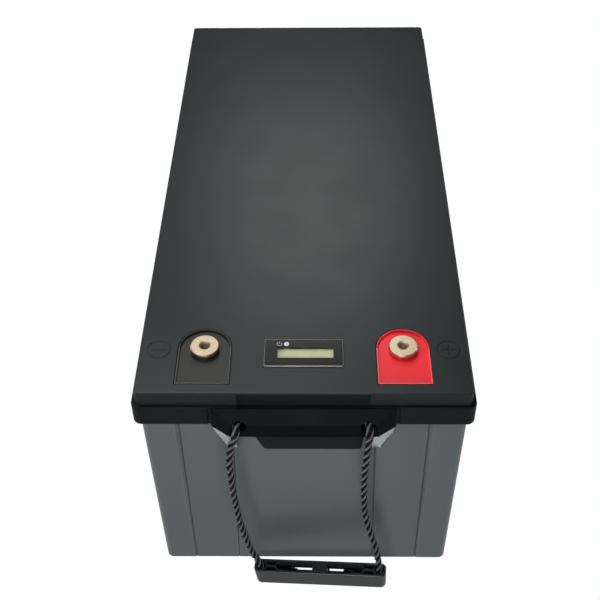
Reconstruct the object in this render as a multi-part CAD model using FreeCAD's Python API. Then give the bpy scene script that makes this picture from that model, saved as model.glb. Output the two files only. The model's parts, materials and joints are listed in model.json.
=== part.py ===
"""12.8 V lithium iron phosphate battery pack in a 520 x 242 x 218 mm case, with a rope handle at each end.

Frame: millimetres, +Z up, origin at the bottom centre of the pack. The two terminals and the charge
meter are at the front, which is -Y. The negative terminal is at -X and the positive one at +X.
"""

import FreeCAD, Part
import math
import os

from FreeCAD import Vector

# Standard case
CASE_LENGTH = 520.0  # over the two lugs
LID_WIDTH = 242.0  # over the skirt
CASE_HEIGHT = 218.0  # floor to the lid's top face
WALL = 3.5
FLOOR = 4.0

# Lid
PLATE_HALF_X, PLATE_HALF_Y = 117.8, 250.2
SKIRT_HALF_X, SKIRT_HALF_Y = LID_WIDTH / 2, 252.8
SKIRT_RADIUS, PLATE_RADIUS = 6.0, 3.0
SKIRT_BOTTOM, STEP_HEIGHT = 187.0, 205.7
LID_THICK = 4.0
LID_UNDERSIDE = CASE_HEIGHT - LID_THICK
RIM_TOP = 201.0
SEAL_HEIGHT = 1.0
LID_CLEARANCE = 0.3

# Case walls, which lean out towards the top, with shallow recesses that fade out towards the floor
CASE_BOTTOM_HALF_X, CASE_BOTTOM_HALF_Y = 115.8, 242.7
CASE_TOP_HALF_X, CASE_TOP_HALF_Y = 117.4, 245.2
CASE_RADIUS, CASE_FOOT_RADIUS = 5.0, 1.5
END_STEP_TOP_X, END_STEP_BOTTOM_X, END_STEP_DEPTH = 91.0, 91.6, 2.0
END_PANEL_TOP_X, END_PANEL_BOTTOM_X, END_PANEL_DEPTH = 52.0, 56.0, 3.0
SIDE_STEP_Y, SIDE_STEP_DEPTH, SIDE_PANEL_DEPTH = 218.0, 1.5, 2.5
FOOT_DEPTH = 0.7
RECESS_BEVEL = 1.5  # the recesses' sides widen by this much of their depth
GROOVE_WIDTH, GROOVE_DEPTH = 1.2, 0.6  # at the foot of each recess's side

# Rope lug on each end of the lid, and the shelf of the case under it
LUG_FRONT = CASE_LENGTH / 2
LUG_HALF_SKIRT, LUG_HALF_FRONT = 65.5, 52.0
LUG_BOTTOM, LUG_CORNER_BOTTOM, LUG_WALL = 182.5, 185.6, 3.5
LUG_SLOPE_FOOT, LUG_SLOPE_TOP_Y, LUG_TOP = 195.0, 253.3, 205.2
LUG_POCKET_BACK, LUG_POCKET_TOP = 248.6, 201.2
EYELET_X, EYELET_Z, EYELET_RADIUS, EYELET_LIP = 45.2, 192.5, 5.0, 0.9
LIP_TOP, LIP_FOOT, LIP_BOTTOM = (-35.0, 43.0), (-28.0, 41.0), 167.7
LIP_FRONT, SHELF_FRONT = 259.0, 255.2
CENTRE_HALF, CENTRE_DEPTH = 46.5, 0.8

# Rope handle
ROPE_RADIUS = 2.8
SWING_Y, SWING_Z = -264.9, 193.0  # the rope folds here, so this is the handle's axis
SWING_GAP = 0.3
GRIP_X, GRIP_Y, GRIP_BOTTOM = 13.1, -266.5, 4.3
GRIP_TURN, GRIP_TILT = -5.0, -4.3  # it rests on one end
GRIP_HEIGHT, GRIP_CORNER = 19.0, 4.5
GRIP_HALF, GRIP_HALF_WIDTH = 53.5, 6.3
GRIP_FOOT_HALF, GRIP_FOOT_HALF_WIDTH = 52.7, 5.7
GRIP_WALL, GRIP_FLOOR = 2.0, 2.4
END_HOLE, SECOND_HOLE, ROPE_HOLE_RADIUS = 47.8, 31.5, 3.8
SLOT_START, SLOT_FLOOR = 6.0, 5.0
GRIP_WINDOW_START, GRIP_WINDOW_END, GRIP_WINDOW_TOP = 6.9, 21.5, 10.4
TUNNEL_TOP = 8.9

# Terminals
TERMINAL_X, TERMINAL_Y = 71.0, -207.7
COVER_HALF, COVER_FRONT = 19.1, -241.4
COVER_ARC_Y = -207.3
POCKET_FLOOR, COVER_TOP, BOSS_BOTTOM = 213.0, 216.2, 209.5
POST_TOP, POST_DISC_RADIUS, POST_NECK_RADIUS, POST_SHANK_RADIUS = 221.2, 10.4, 8.8, 7.0
M8_CORE_RADIUS, M8_DEPTH = 3.4, 14.0
LUG_PLATE_BOTTOM, LUG_PLATE_TOP = 201.2, 203.5

# Charge meter
METER_Y = -212.7
BEZEL_HALF_X, BEZEL_HALF_Y, BEZEL_TOP = 28.5, 13.3, 219.2
METER_BODY_HALF_X, METER_BODY_HALF_Y, METER_WALL = 26.5, 12.1, 1.2
METER_BODY_BOTTOM = 206.0
WINDOW_X, WINDOW_Y, WINDOW_HALF_X, WINDOW_HALF_Y = 0.9, -212.7, 20.1, 5.2
BUTTON_X, BUTTON_Y, BUTTON_RADIUS, BUTTON_TOP = -12.4, -204.5, 1.95, 219.5

# Cells: 4 in series, 2 in parallel
CELL_COUNT = 8
CELL_HALF_X, CELL_THICK, CELL_BOTTOM, CELL_TOP = 80.0, 50.0, 5.0, 120.5
CELL_PITCH = CELL_THICK + 1.0
STUD_X, STUD_RADIUS, STUD_TOP, TERMINAL_PAD_TOP = 57.0, 3.0, 131.5, 123.0
BUSBAR_HALF, BUSBAR_TOP = 11.0, 125.0
END_PLATE = 4.0
STACK_HALF_Y = CELL_PITCH * CELL_COUNT / 2 - 0.5
FOAM_TOP, BOARD_TOP = 134.0, 136.0
BMS_HALF_X, BMS_HALF_Y, BMS_TOP, SINK_TOP = 75.0, 48.0, 152.0, 166.0
CABLE_RADIUS, LEAD_RADIUS = 4.5, 1.5

UP = Vector(0, 0, 1)
parts = {}


# ---------------------------------------------------------------- shape helpers


def box(x0, x1, y0, y1, z0, z1):
    return Part.makeBox(x1 - x0, y1 - y0, z1 - z0, Vector(x0, y0, z0))


def cylinder(x, y, z0, z1, radius):
    return Part.makeCylinder(radius, z1 - z0, Vector(x, y, z0), UP)


def fuse(first, *others):
    return first.multiFuse(list(others)).removeSplitter()


def cut(first, *others):
    for other in others:
        first = first.cut(other)
    return first


def polygon(points, z):
    return Part.makePolygon([Vector(x, y, z) for x, y in [*points, points[0]]])


def prism(wire, height):
    return Part.Face(wire).extrude(Vector(0, 0, height))


def rounded_rectangle(half_x, half_y, radius, z, x=0.0, y=0.0):
    """A closed wire with round corners, at height z."""
    across, along = half_x - radius, half_y - radius
    edges = []
    for sign_x, sign_y, start in ((1, 1, 0), (-1, 1, 90), (-1, -1, 180), (1, -1, 270)):
        centre = Vector(x + sign_x * across, y + sign_y * along, z)
        edges.append(Part.makeCircle(radius, centre, UP, start, start + 90))
    corners = [(edge.firstVertex().Point, edge.lastVertex().Point) for edge in edges]
    for index, (_, end) in enumerate(corners):
        following = corners[(index + 1) % 4][0]
        if (following - end).Length > 1e-6:
            edges.append(Part.makeLine(end, following))
    return Part.Wire(Part.__sortEdges__(edges))


def rounded_block(half_x, half_y, radius, z0, z1, x=0.0, y=0.0):
    return prism(rounded_rectangle(half_x, half_y, radius, z0, x, y), z1 - z0)


def loft(*wires):
    return Part.makeLoft(list(wires), True, True)


def level_edges(shape, z):
    """The edges that lie at height z."""
    box_of = [(edge, edge.BoundBox) for edge in shape.Edges]
    return [edge for edge, b in box_of if abs(b.ZMin - z) < 1e-4 and abs(b.ZMax - z) < 1e-4]


def upright_edges(shape, x=None, y=None):
    """The straight vertical edges, at |x| or at y where those are given."""
    found = []
    for edge in shape.Edges:
        b = edge.BoundBox
        if b.XLength > 1e-4 or b.YLength > 1e-4:
            continue
        if (x is None or abs(abs(b.XMin) - x) < 1e-3) and (y is None or abs(b.YMin - y) < 1e-3):
            found.append(edge)
    return found


def hexagon(x, y, z0, z1, across_flats):
    radius = across_flats / math.sqrt(3)
    corners = [(x + radius * math.cos(a), y + radius * math.sin(a))
               for a in (math.radians(60 * k) for k in range(6))]
    return prism(polygon(corners, z0), z1 - z0)


def turned(shape, degrees, centre=Vector(0, 0, 0)):
    copy = shape.copy()
    copy.rotate(centre, UP, degrees)
    return copy


def opposite(shape):
    """The same shape at the other end of the pack."""
    return turned(shape, 180)


def tangent_path(points):
    """Straight runs joined by tangent arcs, each arc as large as its two runs allow. Gives the wire and radii."""
    points = [Vector(*p) for p in points]
    edges, radii, start = [], [], points[0]
    for before, corner, after in zip(points, points[1:], points[2:]):
        back, on = before - corner, after - corner
        shorter = min(back.Length, on.Length)
        back.normalize()
        on.normalize()
        half_turn = (math.pi - back.getAngle(on)) / 2
        reach = 0.45 * shorter
        radii.append(reach / math.tan(half_turn))
        enter, leave = corner + back * reach, corner + on * reach
        middle = back + on
        middle.normalize()
        crown = corner + middle * (radii[-1] / math.cos(half_turn) - radii[-1])
        edges.append(Part.LineSegment(start, enter).toShape())
        edges.append(Part.Arc(enter, crown, leave).toShape())
        start = leave
    edges.append(Part.LineSegment(start, points[-1]).toShape())
    return Part.Wire(edges), radii


def tube(name, points, radius):
    """A round tube along the path, with its radii and volume printed."""
    path, radii = tangent_path(points)
    along = Vector(*points[1]) - Vector(*points[0])
    profile = Part.Wire(Part.makeCircle(radius, Vector(*points[0]), along))
    solid = path.makePipeShell([profile], True, False)
    expected = math.pi * radius**2 * path.Length
    print(f"{name}: length {path.Length:.1f}, radii {[round(r, 1) for r in radii]}, "
          f"volume {solid.Volume / expected:.4f} of section x length")
    return solid


# ---------------------------------------------------------------- case and lid


def recess(low_half, high_half, along_x, depth):
    """The space outside one end wall (along_x) or side wall, which is depth below its face at the top."""
    low_face = CASE_BOTTOM_HALF_Y if along_x else CASE_BOTTOM_HALF_X
    high_face = CASE_TOP_HALF_Y if along_x else CASE_TOP_HALF_X
    wires = []
    sections = ((0.0, low_half, low_face - FOOT_DEPTH), (SKIRT_BOTTOM, high_half, high_face - depth))
    for z, half, inside in sections:
        wide, far = half + 20 * RECESS_BEVEL, inside + 20
        notch, deep = half - GROOVE_WIDTH, inside - GROOVE_DEPTH
        outline = [(-half, inside), (-half + 0.3, deep), (-notch - 0.3, deep), (-notch, inside),
                   (notch, inside), (notch + 0.3, deep), (half - 0.3, deep), (half, inside),
                   (wide, far), (-wide, far)]
        if not along_x:
            outline = [(y, x) for x, y in outline]
        wires.append(polygon(outline, z))
    return loft(*wires)


def make_brackets():
    """A shelf that closes the front rope lug from below, and the two gussets that carry its ends."""
    outlines = [
        (182.2, [(-65.3, -250.65), (-52.5, -259.9), (-49.4, -259.9), (-49.4, -241.0), (-65.3, -241.0)]),
        (165.4, [(-63.9, -243.2), (-54.6, -251.5), (-49.4, -251.5), (-49.4, -241.0), (-63.9, -241.0)]),
        (148.6, [(-57.0, -242.9), (-56.4, -243.1), (-49.4, -243.1), (-49.4, -241.0), (-57.0, -241.0)])]
    shelf_half = outlines[0][1][2][0]
    brackets = [box(shelf_half, -shelf_half, -SHELF_FRONT, -241.0, 180.2, 182.2)]
    for side in (1, -1):
        wires = [polygon([(side * x, y) for x, y in points], z) for z, points in outlines]
        brackets.append(fuse(*[loft(low, high) for low, high in zip(wires, wires[1:])]))
    return brackets


def make_case():
    bottom = rounded_rectangle(CASE_BOTTOM_HALF_X, CASE_BOTTOM_HALF_Y, CASE_RADIUS, 0)
    shoulder = rounded_rectangle(CASE_TOP_HALF_X, CASE_TOP_HALF_Y, CASE_RADIUS, SKIRT_BOTTOM)
    outside = loft(bottom, shoulder)
    outside = outside.makeFillet(CASE_FOOT_RADIUS, level_edges(outside, 0))
    end_step = recess(END_STEP_BOTTOM_X, END_STEP_TOP_X, True, END_STEP_DEPTH)
    end_panel = recess(END_PANEL_BOTTOM_X, END_PANEL_TOP_X, True, END_PANEL_DEPTH)
    side_step = recess(SIDE_STEP_Y, SIDE_STEP_Y, False, SIDE_STEP_DEPTH)
    side_panel = recess(SIDE_STEP_Y - 90, SIDE_STEP_Y - 94, False, SIDE_PANEL_DEPTH)
    for space in (end_step, end_panel, side_step, side_panel):
        outside = cut(outside, space, opposite(space))
    rim = rounded_block(CASE_TOP_HALF_X, CASE_TOP_HALF_Y, CASE_RADIUS, SKIRT_BOTTOM, RIM_TOP)
    brackets = make_brackets()
    outside = fuse(outside, rim, *brackets, *[opposite(bracket) for bracket in brackets])
    foot_x, foot_y = CASE_BOTTOM_HALF_X - FOOT_DEPTH - WALL, CASE_BOTTOM_HALF_Y - FOOT_DEPTH - WALL
    top_x, top_y = CASE_TOP_HALF_X - SIDE_PANEL_DEPTH - WALL, CASE_TOP_HALF_Y - END_PANEL_DEPTH - WALL
    hollow = loft(rounded_rectangle(foot_x, foot_y, CASE_RADIUS, FLOOR),
                  rounded_rectangle(top_x, top_y, CASE_RADIUS, SKIRT_BOTTOM))
    mouth = rounded_block(CASE_TOP_HALF_X - WALL, CASE_TOP_HALF_Y - WALL, 3.0, SKIRT_BOTTOM, RIM_TOP + 1)
    parts["case_container"] = cut(outside, hollow, mouth)
    bead_out, bead_in = 0.5, WALL - 0.5
    parts["lid_seal"] = cut(
        rounded_block(CASE_TOP_HALF_X - bead_out, CASE_TOP_HALF_Y - bead_out, CASE_RADIUS - bead_out,
                      RIM_TOP, RIM_TOP + SEAL_HEIGHT),
        rounded_block(CASE_TOP_HALF_X - bead_in, CASE_TOP_HALF_Y - bead_in, CASE_RADIUS - bead_in,
                      RIM_TOP - 1, RIM_TOP + SEAL_HEIGHT + 1))


def horseshoe_wire(grow, z0, x):
    """The outline of a terminal pocket: straight towards the front, round at the back."""
    half = COVER_HALF + grow
    front = COVER_FRONT - grow
    left, right = Vector(x - half, COVER_ARC_Y, z0), Vector(x + half, COVER_ARC_Y, z0)
    top = Vector(x, COVER_ARC_Y + half, z0)
    return Part.Wire([
        Part.Arc(right, top, left).toShape(),
        Part.makeLine(left, Vector(x - half, front, z0)),
        Part.makeLine(Vector(x - half, front, z0), Vector(x + half, front, z0)),
        Part.makeLine(Vector(x + half, front, z0), right)])


def horseshoe(grow, z0, z1, x):
    return prism(horseshoe_wire(grow, z0, x), z1 - z0)


def eyelet(x):
    """A hole through the lug's front wall, flared at both ends so that it doesn't cut the rope."""
    outer, inner = -LUG_FRONT, -LUG_FRONT + LUG_WALL
    back = Vector(0, 1, 0)
    hole = Part.makeCylinder(EYELET_RADIUS, LUG_WALL + 2, Vector(x, outer - 1, EYELET_Z), back)
    wide = EYELET_RADIUS + EYELET_LIP
    flare = Part.makeCone(wide, EYELET_RADIUS, EYELET_LIP, Vector(x, outer, EYELET_Z), back)
    inner_flare = Part.makeCone(EYELET_RADIUS, wide, EYELET_LIP, Vector(x, inner - EYELET_LIP, EYELET_Z), back)
    return [hole, flare, inner_flare]


def lug_outline(half_skirt, front, half_front, back, z):
    """Half a hexagon in plan: wide at the skirt and narrower at its front face."""
    return polygon([(-half_skirt, -back), (-half_skirt, -SKIRT_HALF_Y), (-half_front, -front),
                    (half_front, -front), (half_skirt, -SKIRT_HALF_Y), (half_skirt, -back)], z)


def upright_slab(points, x0, x1):
    """A prism along X over an outline in Y and Z."""
    wire = Part.makePolygon([Vector(x0, y, z) for y, z in [*points, points[0]]])
    return Part.Face(wire).extrude(Vector(x1 - x0, 0, 0))


def make_lug():
    """The front lug as (solids to add, solids to take away)."""
    body = prism(lug_outline(LUG_HALF_SKIRT, LUG_FRONT, LUG_HALF_FRONT, CASE_TOP_HALF_Y + 0.5, LUG_BOTTOM),
                 LUG_TOP - LUG_BOTTOM)
    front_edges = upright_edges(body, y=-LUG_FRONT) + upright_edges(body, y=-SKIRT_HALF_Y)
    body = body.makeFillet(1.5, front_edges)
    slope = upright_slab([(-LUG_FRONT, LUG_SLOPE_FOOT), (-LUG_SLOPE_TOP_Y, LUG_TOP),
                          (-LUG_SLOPE_TOP_Y, LUG_TOP + 1), (-LUG_FRONT - 1, LUG_TOP + 1),
                          (-LUG_FRONT - 1, LUG_SLOPE_FOOT)], -70, 70)
    body = cut(body, slope)
    for side in (-1, 1):
        corner = [(side * LUG_HALF_FRONT, LUG_BOTTOM), (side * LUG_HALF_SKIRT, LUG_BOTTOM - 1),
                  (side * (LUG_HALF_SKIRT + 1), LUG_CORNER_BOTTOM + 0.2)]
        wire = Part.makePolygon([Vector(x, -LUG_FRONT - 1, z) for x, z in [*corner, corner[0]]])
        body = cut(body, Part.Face(wire).extrude(Vector(0, 20, 0)))
    lip_points = [(LIP_TOP[0], LUG_BOTTOM + 1), (LIP_FOOT[0], LIP_BOTTOM),
                  (LIP_FOOT[1], LIP_BOTTOM), (LIP_TOP[1], LUG_BOTTOM + 1)]
    lip_wire = Part.makePolygon([Vector(x, -LIP_FRONT, z) for x, z in [*lip_points, lip_points[0]]])
    lip = Part.Face(lip_wire).extrude(Vector(0, LUG_WALL, 0))
    low_edges = [e for e in lip.Edges if e.BoundBox.ZMax < LIP_BOTTOM + 0.1 and e.BoundBox.XLength < 0.1]
    lip = lip.makeFillet(2.0, low_edges)
    plan = prism(polygon([(-60.0, -LUG_POCKET_BACK), (-60.5, -251.6), (-50.6, -LUG_FRONT + LUG_WALL),
                          (50.6, -LUG_FRONT + LUG_WALL), (60.5, -251.6), (60.0, -LUG_POCKET_BACK)],
                         LUG_BOTTOM - 1), LUG_POCKET_TOP - LUG_BOTTOM + 1)
    side_view = upright_slab([(-LUG_POCKET_BACK, LUG_BOTTOM - 1), (-LUG_POCKET_BACK, LUG_POCKET_TOP),
                              (-251.8, LUG_POCKET_TOP), (-LUG_FRONT + LUG_WALL, LUG_SLOPE_FOOT - 0.5),
                              (-LUG_FRONT + LUG_WALL, LUG_BOTTOM - 1)], -61, 61)
    pocket = plan.common(side_view)
    centre = box(-CENTRE_HALF, CENTRE_HALF, -LUG_FRONT - 1, -PLATE_HALF_Y + CENTRE_DEPTH,
                 STEP_HEIGHT - CENTRE_DEPTH, CASE_HEIGHT - 1.6)
    grooves = [box(side * 67.0 - 0.6, side * 67.0 + 0.6, -SKIRT_HALF_Y - 1, -SKIRT_HALF_Y + 1.2,
                   SKIRT_BOTTOM - 1, STEP_HEIGHT + 1) for side in (-1, 1)]
    holes = [solid for x in (-EYELET_X, EYELET_X) for solid in eyelet(x)]
    return [body, lip], [pocket, centre, *grooves, *holes]


def polarity_mark(x, positive):
    """A sunk ring with a minus or a plus in it."""
    y, depth = -209.0, 0.3
    floor, above = CASE_HEIGHT - depth, CASE_HEIGHT + 1
    ring = cut(cylinder(x, y, floor, above, 8.8), cylinder(x, y, floor - 1, above + 1, 7.7))
    marks = [ring, box(x - 5.2, x + 5.2, y - 0.55, y + 0.55, floor, above)]
    if positive:
        marks.append(box(x - 0.55, x + 0.55, y - 5.2, y + 5.2, floor, above))
    return marks


def make_lid():
    skirt = rounded_block(SKIRT_HALF_X, SKIRT_HALF_Y, SKIRT_RADIUS, SKIRT_BOTTOM, STEP_HEIGHT)
    skirt = skirt.makeFillet(1.2, level_edges(skirt, STEP_HEIGHT) + level_edges(skirt, SKIRT_BOTTOM))
    plate = rounded_block(PLATE_HALF_X, PLATE_HALF_Y, PLATE_RADIUS, STEP_HEIGHT - 2, CASE_HEIGHT)
    plate = plate.makeFillet(0.9, level_edges(plate, CASE_HEIGHT))
    added, taken = make_lug()
    bosses = [horseshoe(2.5, BOSS_BOTTOM, LID_UNDERSIDE + 1, side * TERMINAL_X) for side in (-1, 1)]
    inside = LID_CLEARANCE
    socket = rounded_block(CASE_TOP_HALF_X + inside, CASE_TOP_HALF_Y + inside, CASE_RADIUS + inside,
                           SKIRT_BOTTOM - 10, RIM_TOP + SEAL_HEIGHT)
    ceiling = rounded_block(CASE_TOP_HALF_X - WALL, CASE_TOP_HALF_Y - WALL, 3.0, RIM_TOP, LID_UNDERSIDE)
    shell = fuse(skirt, plate, *added, *[opposite(solid) for solid in added])
    shell = cut(shell, socket, ceiling)
    shell = fuse(shell, *bosses)
    for solid in taken:
        shell = cut(shell, solid, opposite(solid))
    for side in (-1, 1):
        x = side * TERMINAL_X
        bevel = loft(horseshoe_wire(0, CASE_HEIGHT - 0.6, x), horseshoe_wire(0.7, CASE_HEIGHT + 0.1, x))
        shell = cut(shell, bevel, horseshoe(0, POCKET_FLOOR, CASE_HEIGHT + 1, x),
                    cylinder(x, TERMINAL_Y, BOSS_BOTTOM - 1, POCKET_FLOOR + 1, POST_SHANK_RADIUS + 0.2),
                    cylinder(x, TERMINAL_Y, POCKET_FLOOR - 1.5, POCKET_FLOOR + 1, 10.0))
    shell = cut(shell, rounded_block(METER_BODY_HALF_X + 0.2, METER_BODY_HALF_Y + 0.2, 1.5,
                                     LID_UNDERSIDE - 1, CASE_HEIGHT + 1, 0, METER_Y))
    for mark in polarity_mark(-104.0, False) + polarity_mark(104.0, True):
        shell = cut(shell, mark)
    parts["lid"] = shell


# ---------------------------------------------------------------- terminals


def make_terminals():
    seals, nuts = [], []
    for name, side in (("negative", -1), ("positive", 1)):
        x = side * TERMINAL_X
        plate = horseshoe(-0.15, POCKET_FLOOR, COVER_TOP, x)
        rim = cut(horseshoe(-0.15, COVER_TOP - 1, CASE_HEIGHT - 0.1, x),
                  horseshoe(-1.05, COVER_TOP - 2, CASE_HEIGHT, x))
        hole = cylinder(x, TERMINAL_Y, POCKET_FLOOR - 1, COVER_TOP + 1, POST_SHANK_RADIUS + 0.2)
        parts[f"{name}_terminal_cover"] = cut(fuse(plate, rim), hole)
        disc = cylinder(x, TERMINAL_Y, POST_TOP - 2.4, POST_TOP, POST_DISC_RADIUS)
        disc = disc.makeChamfer(0.6, level_edges(disc, POST_TOP))
        post = fuse(disc, cylinder(x, TERMINAL_Y, COVER_TOP, POST_TOP - 2, POST_NECK_RADIUS),
                    cylinder(x, TERMINAL_Y, 196.0, COVER_TOP + 1, POST_SHANK_RADIUS))
        thread = cylinder(x, TERMINAL_Y, POST_TOP - M8_DEPTH, POST_TOP + 1, M8_CORE_RADIUS)
        mouth = Part.makeCone(M8_CORE_RADIUS, M8_CORE_RADIUS + 0.8, 0.8,
                              Vector(x, TERMINAL_Y, POST_TOP - 0.8), UP)
        parts[f"{name}_terminal_post"] = cut(post, thread, mouth)
        seals.append(cut(cylinder(x, TERMINAL_Y, POCKET_FLOOR - 1.5, POCKET_FLOOR, 9.9),
                         cylinder(x, TERMINAL_Y, POCKET_FLOOR - 3, POCKET_FLOOR + 1, POST_SHANK_RADIUS + 0.05)))
        for z0, z1 in ((LUG_PLATE_TOP, BOSS_BOTTOM), (LUG_PLATE_BOTTOM - 4, LUG_PLATE_BOTTOM)):
            nuts.append(cut(hexagon(x, TERMINAL_Y, z0, z1, 24),
                            cylinder(x, TERMINAL_Y, z0 - 1, z1 + 1, POST_SHANK_RADIUS + 0.05)))
    parts["terminal_seals"] = Part.makeCompound(seals)
    parts["terminal_nuts"] = Part.makeCompound(nuts)


# ---------------------------------------------------------------- charge meter


def make_meter():
    y = METER_Y
    flange = rounded_block(BEZEL_HALF_X - 0.8, BEZEL_HALF_Y - 0.8, 0.8, CASE_HEIGHT, BEZEL_TOP, 0, y)
    body = cut(
        rounded_block(METER_BODY_HALF_X, METER_BODY_HALF_Y, 1.4, METER_BODY_BOTTOM, CASE_HEIGHT, 0, y),
        rounded_block(METER_BODY_HALF_X - METER_WALL, METER_BODY_HALF_Y - METER_WALL, 0.8,
                      METER_BODY_BOTTOM - 1, CASE_HEIGHT, 0, y))
    window = rounded_block(WINDOW_HALF_X, WINDOW_HALF_Y, 0.6, CASE_HEIGHT - 1, BEZEL_TOP + 1,
                           WINDOW_X, WINDOW_Y)
    button_hole = cylinder(BUTTON_X, BUTTON_Y, CASE_HEIGHT - 1, BEZEL_TOP + 1, BUTTON_RADIUS + 0.1)
    parts["meter_bezel"] = cut(fuse(flange, body), window, button_hole)
    trim = rounded_block(BEZEL_HALF_X, BEZEL_HALF_Y, 1.2, CASE_HEIGHT, BEZEL_TOP - 0.1, 0, y)
    trim = trim.makeChamfer(0.4, level_edges(trim, BEZEL_TOP - 0.1))
    parts["meter_trim"] = cut(trim, rounded_block(BEZEL_HALF_X - 0.75, BEZEL_HALF_Y - 0.75, 0.8,
                                                  CASE_HEIGHT - 1, BEZEL_TOP + 1, 0, y))
    parts["meter_lens"] = rounded_block(21.3, 5.6, 0.5, CASE_HEIGHT - 1, CASE_HEIGHT, WINDOW_X, WINDOW_Y)
    parts["meter_display"] = box(-19.9, 21.7, WINDOW_Y - 5.6, WINDOW_Y + 5.6, 214.9, CASE_HEIGHT - 1.2)
    parts["meter_backlight"] = box(-19.9, 21.7, WINDOW_Y - 5.6, WINDOW_Y + 5.6, 211.2, 214.8)
    parts["meter_circuit_board"] = box(-25.0, 25.0, y - 10.6, y + 10.6, 209.6, 211.2)
    parts["meter_retainer"] = cut(
        rounded_block(31.0, 16.0, 3.0, LID_UNDERSIDE - 3, LID_UNDERSIDE, 0, y),
        rounded_block(METER_BODY_HALF_X + 0.1, METER_BODY_HALF_Y + 0.1, 1.5,
                      LID_UNDERSIDE - 4, LID_UNDERSIDE + 1, 0, y))
    cap = cylinder(BUTTON_X, BUTTON_Y, 215.6, BUTTON_TOP, BUTTON_RADIUS)
    cap = cap.makeFillet(0.3, level_edges(cap, BUTTON_TOP))
    collar = cylinder(BUTTON_X, BUTTON_Y, CASE_HEIGHT - 1.05, CASE_HEIGHT - 0.05, 2.3)
    parts["wake_button"] = fuse(cap, collar)
    parts["wake_switch"] = fuse(
        box(BUTTON_X - 2, BUTTON_X + 2, BUTTON_Y - 2, BUTTON_Y + 2, 211.2, 214.4),
        cylinder(BUTTON_X, BUTTON_Y, 214.0, 215.1, 1.0))


# ---------------------------------------------------------------- rope handles


GRIP_PLACE = FreeCAD.Placement(Vector(GRIP_X, GRIP_Y, GRIP_BOTTOM),
                               FreeCAD.Rotation(GRIP_TURN, GRIP_TILT, 0))


def grip_point(along, z):
    """A point on the grip's middle plane, from its own length and height."""
    return tuple(GRIP_PLACE.multVec(Vector(along, 0, z)))


def rope_in_grip(side):
    """Where the rope goes inside the grip: down an end hole, under the ribs and up to its tail."""
    return [grip_point(side * END_HOLE, 21.0), grip_point(side * END_HOLE, 5.7),
            grip_point(side * SECOND_HOLE, 5.7), grip_point(side * 26.8, 12.6),
            grip_point(side * 19.0, 12.9)]


ROPE_LEFT = [(-47.4, SWING_Y, SWING_Z - ROPE_RADIUS - SWING_GAP), (-52.4, -265.8, 175.7),
             (-53.5, -266.4, 158.0), (-53.0, -266.5, 138.0), (-52.1, -266.0, 118.0), (-51.1, -265.3, 99.0),
             (-49.1, -264.5, 79.0), (-46.0, -263.5, 58.0), (-42.3, -262.4, 38.0), *rope_in_grip(-1)]
ROPE_RIGHT = [(46.0, SWING_Y, SWING_Z - ROPE_RADIUS - SWING_GAP), (45.1, -265.7, 176.0),
              (44.0, -266.4, 159.0), (43.6, -266.9, 141.0), (43.9, -267.2, 122.0), (45.2, -267.6, 104.0),
              (47.9, -268.0, 86.0), (52.1, -268.6, 69.0), (56.8, -269.2, 50.0), *rope_in_grip(1)]
ROPE_BIGHT = [(-47.0, SWING_Y, SWING_Z), (-47.0, -252.0, SWING_Z), (-27.0, -251.9, 192.0),
              (-1.0, -251.9, 191.2), (25.0, -251.9, 192.0), (46.0, -252.0, SWING_Z),
              (46.0, SWING_Y, SWING_Z)]


def make_grip():
    body = loft(rounded_rectangle(GRIP_FOOT_HALF, GRIP_FOOT_HALF_WIDTH, GRIP_CORNER, 0),
                rounded_rectangle(GRIP_HALF, GRIP_HALF_WIDTH, GRIP_CORNER, GRIP_HEIGHT))
    body = body.makeFillet(3.0, level_edges(body, 0))
    body = body.makeFillet(0.9, level_edges(body, GRIP_HEIGHT))
    above = GRIP_HEIGHT + 1
    inner = GRIP_HALF_WIDTH - GRIP_WALL
    for side in (-1, 1):
        near, far = sorted((side * SECOND_HOLE, side * END_HOLE))
        bores = [cylinder(side * END_HOLE, 0, GRIP_FLOOR, above, ROPE_HOLE_RADIUS),
                 cylinder(side * SECOND_HOLE, 0, GRIP_FLOOR, above, ROPE_HOLE_RADIUS)]
        tunnel = box(near - 3, far + 3, -ROPE_RADIUS - 0.1, ROPE_RADIUS + 0.1, GRIP_FLOOR, TUNNEL_TOP)
        pockets = cut(box(near, far, -inner, inner, TUNNEL_TOP - 0.5, above),
                      cylinder(side * END_HOLE, 0, 0, above, ROPE_HOLE_RADIUS + 1.1),
                      cylinder(side * SECOND_HOLE, 0, 0, above, ROPE_HOLE_RADIUS + 1.1),
                      box(near, far, -0.6, 0.6, 0, above))
        start, end = sorted((side * SLOT_START, side * (SECOND_HOLE - 2.5)))
        slot = box(start, end, -inner, inner, SLOT_FLOOR, above)
        first, last = sorted((side * GRIP_WINDOW_START, side * GRIP_WINDOW_END))
        window = box(first, last, 0, GRIP_HALF_WIDTH + 1, SLOT_FLOOR, GRIP_WINDOW_TOP)
        body = cut(body, *bores, tunnel, pockets, slot, window)
    body.Placement = GRIP_PLACE
    return body


def make_handles():
    bight = tube("rope bight", ROPE_BIGHT, ROPE_RADIUS)
    for x, y, z in (ROPE_BIGHT[0], ROPE_BIGHT[-1]):
        bight = fuse(bight, Part.makeSphere(ROPE_RADIUS, Vector(x, y, z)))
    pieces = {"rope_bight": bight, "rope_left": tube("rope left", ROPE_LEFT, ROPE_RADIUS),
              "rope_right": tube("rope right", ROPE_RIGHT, ROPE_RADIUS), "grip": make_grip()}
    for name, shape in pieces.items():
        parts[f"front_{name}"] = shape
        parts[f"back_{name}"] = opposite(shape)


# ---------------------------------------------------------------- cells and electronics


def cell_y(index):
    return (index - (CELL_COUNT - 1) / 2) * CELL_PITCH


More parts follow.
